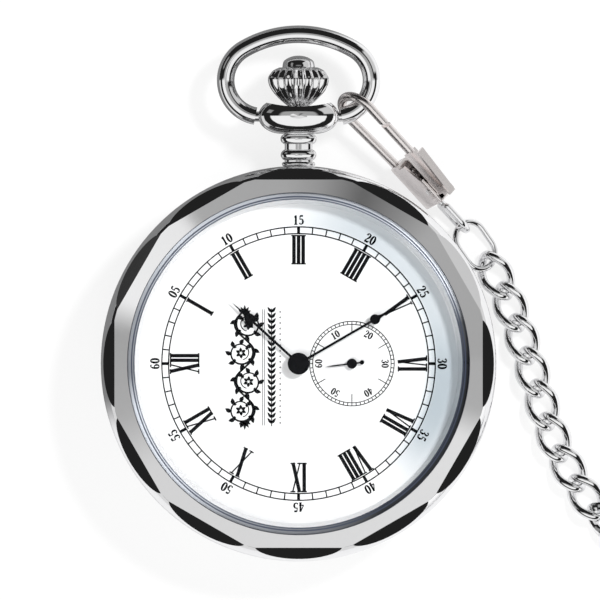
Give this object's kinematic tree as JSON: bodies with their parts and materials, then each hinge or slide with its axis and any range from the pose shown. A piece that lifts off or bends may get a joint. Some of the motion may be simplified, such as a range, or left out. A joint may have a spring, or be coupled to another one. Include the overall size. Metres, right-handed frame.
{
  "type": "pocket watch",
  "caption": "Open-face pocket watch with a faceted steel case, wire bow, roman dial with small seconds, swivel clasp and a twisted curb chain with an end bar.",
  "frame": {"origin": "centre of the flat rest face of the case back, on the case's axis", "axes": "+Z out of the dial, +Y towards the crown and bow, +X towards the six o'clock and small seconds side"},
  "size_m": [0.1053, 0.1077, 0.0123],
  "materials": {
    "polished_steel": "mirror polished, with light handling marks",
    "spring_steel": "bright drawn steel",
    "brushed_steel": "fine brushed",
    "dark_steel": "dark sintered steel",
    "crystal": "clear mineral glass",
    "pale_plastic": "moulded, matt",
    "black_rubber": "smooth seal",
    "dial_paint": "white enamel paint with black print",
    "black_paint": "gloss black",
    "brass": "plated and lightly brushed",
    "board_green": "solder mask",
    "copper_wire": "enamelled copper wire"
  },
  "bodies": {
    "case": {"case_middle": "polished_steel", "bezel": "polished_steel", "case_back": "polished_steel", "crystal": "crystal", "crystal_gasket": "pale_plastic", "back_gasket": "black_rubber", "pendant": "polished_steel", "crown_gasket": "black_rubber", "dial": "dial_paint", "dial_ring": "brushed_steel", "movement_ring": "pale_plastic", "main_plate": "brushed_steel", "train_bridge": "brass", "bridge_screws": "spring_steel", "battery": "brushed_steel", "battery_strap": "brass", "circuit_board": "board_green", "quartz_can": "brushed_steel", "coil": "copper_wire", "stator": "dark_steel"},
    "minute_train": {"centre_wheel": "brass", "minute_hand": "black_paint"},
    "third_train": {"third_wheel": "brass"},
    "seconds_train": {"seconds_wheel": "brass", "seconds_hand": "black_paint"},
    "fifth_train": {"fifth_wheel": "brass"},
    "step_rotor": {"rotor": "dark_steel"},
    "motion_wheel": {"minute_wheel": "brass"},
    "hour_train": {"hour_wheel": "brass", "hour_hand": "black_paint"},
    "clutch": {"sliding_pinion": "spring_steel"},
    "crown_group": {"crown": "polished_steel", "winding_stem": "spring_steel"},
    "lever": {"setting_lever": "spring_steel"},
    "bow_loop": {"bow": "polished_steel"},
    "clasp": {"clasp_hook": "polished_steel", "gate_pin": "spring_steel", "gate_spring": "spring_steel"},
    "gate": {"clasp_gate": "polished_steel"},
    "bail": {"swivel_bail": "polished_steel"},
    "ring": {"oval_ring": "polished_steel"},
    "link_1": {"link_01": "polished_steel"},
    "link_2": {"link_02": "polished_steel"},
    "link_3": {"link_03": "polished_steel"},
    "link_4": {"link_04": "polished_steel"},
    "link_5": {"link_05": "polished_steel"},
    "link_6": {"link_06": "polished_steel"},
    "link_7": {"link_07": "polished_steel"},
    "link_8": {"link_08": "polished_steel"},
    "run_1": {"chain_run_1": "polished_steel"},
    "run_2": {"chain_run_2": "polished_steel"},
    "run_3": {"chain_run_3": "polished_steel"},
    "bar_link": {"bar_ring": "polished_steel"},
    "bar": {"end_bar": "polished_steel"}
  },
  "joints": [
    {"name": "minute_turn", "type": "hinge", "parent": "case", "child": "minute_train", "pos_m": [0, 0, 0.008], "axis": [0, 0, -1], "continuous": true},
    {"name": "third_turn", "type": "hinge", "parent": "case", "child": "third_train", "pos_m": [0.0033, -0.00218, 0.006], "axis": [0, 0, -1], "continuous": true},
    {"name": "seconds_turn", "type": "hinge", "parent": "case", "child": "seconds_train", "pos_m": [0.00634, 0, 0.006], "axis": [0, 0, -1], "continuous": true},
    {"name": "fifth_turn", "type": "hinge", "parent": "case", "child": "fifth_train", "pos_m": [0.00742, 0.00187, 0.006], "axis": [0, 0, -1], "continuous": true},
    {"name": "rotor_turn", "type": "hinge", "parent": "case", "child": "step_rotor", "pos_m": [0.00637, 0.00369, 0.006], "axis": [0, 0, -1], "continuous": true},
    {"name": "motion_turn", "type": "hinge", "parent": "case", "child": "motion_wheel", "pos_m": [-0.002, 0, 0.0082], "axis": [0, 0, -1], "continuous": true},
    {"name": "hour_turn", "type": "hinge", "parent": "case", "child": "hour_train", "pos_m": [0, 0, 0.009], "axis": [0, 0, -1], "continuous": true},
    {"name": "crown_turn", "type": "hinge", "parent": "case", "child": "clutch", "pos_m": [0, 0.0085, 0.0059], "axis": [0, 1, 0], "continuous": true},
    {"name": "crown_pull", "type": "slide", "parent": "clutch", "child": "crown_group", "axis": [0, 1, 0], "range_m": [0, 0.001]},
    {"name": "lever_turn", "type": "hinge", "parent": "case", "child": "lever", "pos_m": [-0.0026, 0.0109, 0.0067], "axis": [0, 0, 1], "range_deg": [-1, 24]},
    {"name": "bow_swing", "type": "hinge", "parent": "case", "child": "bow_loop", "pos_m": [0, 0.0294, 0.0059], "axis": [1, 0, 0], "range_deg": [-90, 90]},
    {"name": "clasp_swing", "type": "hinge", "parent": "bow_loop", "child": "clasp", "pos_m": [0.0069, 0.0301, 0.0059], "axis": [0.8102, 0.5861, 0], "range_deg": [-10, 25]},
    {"name": "gate_press", "type": "hinge", "parent": "clasp", "child": "gate", "pos_m": [0.01604, 0.021, 0.00422], "axis": [-0.5506, -0.6405, 0.5353], "range_deg": [0, 13], "stiffness_Nm_per_rad": 0.004, "springref_deg": -11.46},
    {"name": "swivel_turn", "type": "hinge", "parent": "clasp", "child": "bail", "pos_m": [0.0168, 0.01937, 0.00305], "axis": [0.6641, -0.7247, -0.184], "continuous": true},
    {"name": "ring_swing", "type": "hinge", "parent": "bail", "child": "ring", "pos_m": [0.0198, 0.01617, 0.00231], "axis": [0.5058, 0.2542, 0.8244], "range_deg": [-7, 12]},
    {"name": "link_1_turn", "type": "hinge", "parent": "ring", "child": "link_1", "pos_m": [0.02278, 0.01161, 0.0015], "axis": [0, 0, 1], "range_deg": [-3, 12]},
    {"name": "link_2_turn", "type": "hinge", "parent": "link_1", "child": "link_2", "pos_m": [0.02456, 0.00864, 0.00125], "axis": [0, 0, 1], "range_deg": [-3, 12]},
    {"name": "link_3_turn", "type": "hinge", "parent": "link_2", "child": "link_3", "pos_m": [0.02603, 0.00481, 0.00125], "axis": [0, 0, 1], "range_deg": [-3, 12]},
    {"name": "link_4_turn", "type": "hinge", "parent": "link_3", "child": "link_4", "pos_m": [0.0273, 0.00091, 0.00125], "axis": [0, 0, 1], "range_deg": [-3, 12]},
    {"name": "link_5_turn", "type": "hinge", "parent": "link_4", "child": "link_5", "pos_m": [0.0285, -0.00301, 0.00125], "axis": [0, 0, 1], "range_deg": [-6, 12]},
    {"name": "link_6_turn", "type": "hinge", "parent": "link_5", "child": "link_6", "pos_m": [0.02963, -0.00695, 0.00125], "axis": [0, 0, 1], "range_deg": [-10, 10]},
    {"name": "link_7_turn", "type": "hinge", "parent": "link_6", "child": "link_7", "pos_m": [0.03116, -0.01075, 0.00125], "axis": [0, 0, 1], "range_deg": [-10, 10]},
    {"name": "link_8_turn", "type": "hinge", "parent": "link_7", "child": "link_8", "pos_m": [0.03321, -0.0143, 0.00125], "axis": [0, 0, 1], "range_deg": [-12, 12]},
    {"name": "run_1_turn", "type": "hinge", "parent": "link_8", "child": "run_1", "pos_m": [0.03551, -0.0177, 0.00125], "axis": [0, 0, 1], "range_deg": [-25, 2]},
    {"name": "run_2_turn", "type": "hinge", "parent": "run_1", "child": "run_2", "pos_m": [0.07851, -0.03048, 0.00125], "axis": [0, 0, 1], "range_deg": [-1, 20]},
    {"name": "run_3_turn", "type": "hinge", "parent": "run_2", "child": "run_3", "pos_m": [0.0364, -0.04445, 0.00125], "axis": [0, 0, 1], "range_deg": [-20, 1]},
    {"name": "bar_ring_swing", "type": "hinge", "parent": "run_3", "child": "bar_link", "pos_m": [0.0747, -0.05743, 0.00155], "axis": [0, 1, 0], "range_deg": [-10, 10]},
    {"name": "bar_swing", "type": "hinge", "parent": "bar_link", "child": "bar", "pos_m": [0.078, -0.05743, 0.00155], "axis": [0, 0, 1], "range_deg": [-30, 30]}
  ],
  "couplings": [
    {"joint": "third_turn", "follows": "minute_turn", "ratio": -8},
    {"joint": "seconds_turn", "follows": "minute_turn", "ratio": 60},
    {"joint": "fifth_turn", "follows": "minute_turn", "ratio": -300},
    {"joint": "rotor_turn", "follows": "minute_turn", "ratio": 1800},
    {"joint": "motion_turn", "follows": "minute_turn", "ratio": -0.33333},
    {"joint": "hour_turn", "follows": "minute_turn", "ratio": 0.083333},
    {"joint": "lever_turn", "follows": "crown_pull", "rad_per_m": 387.46}
  ]
}
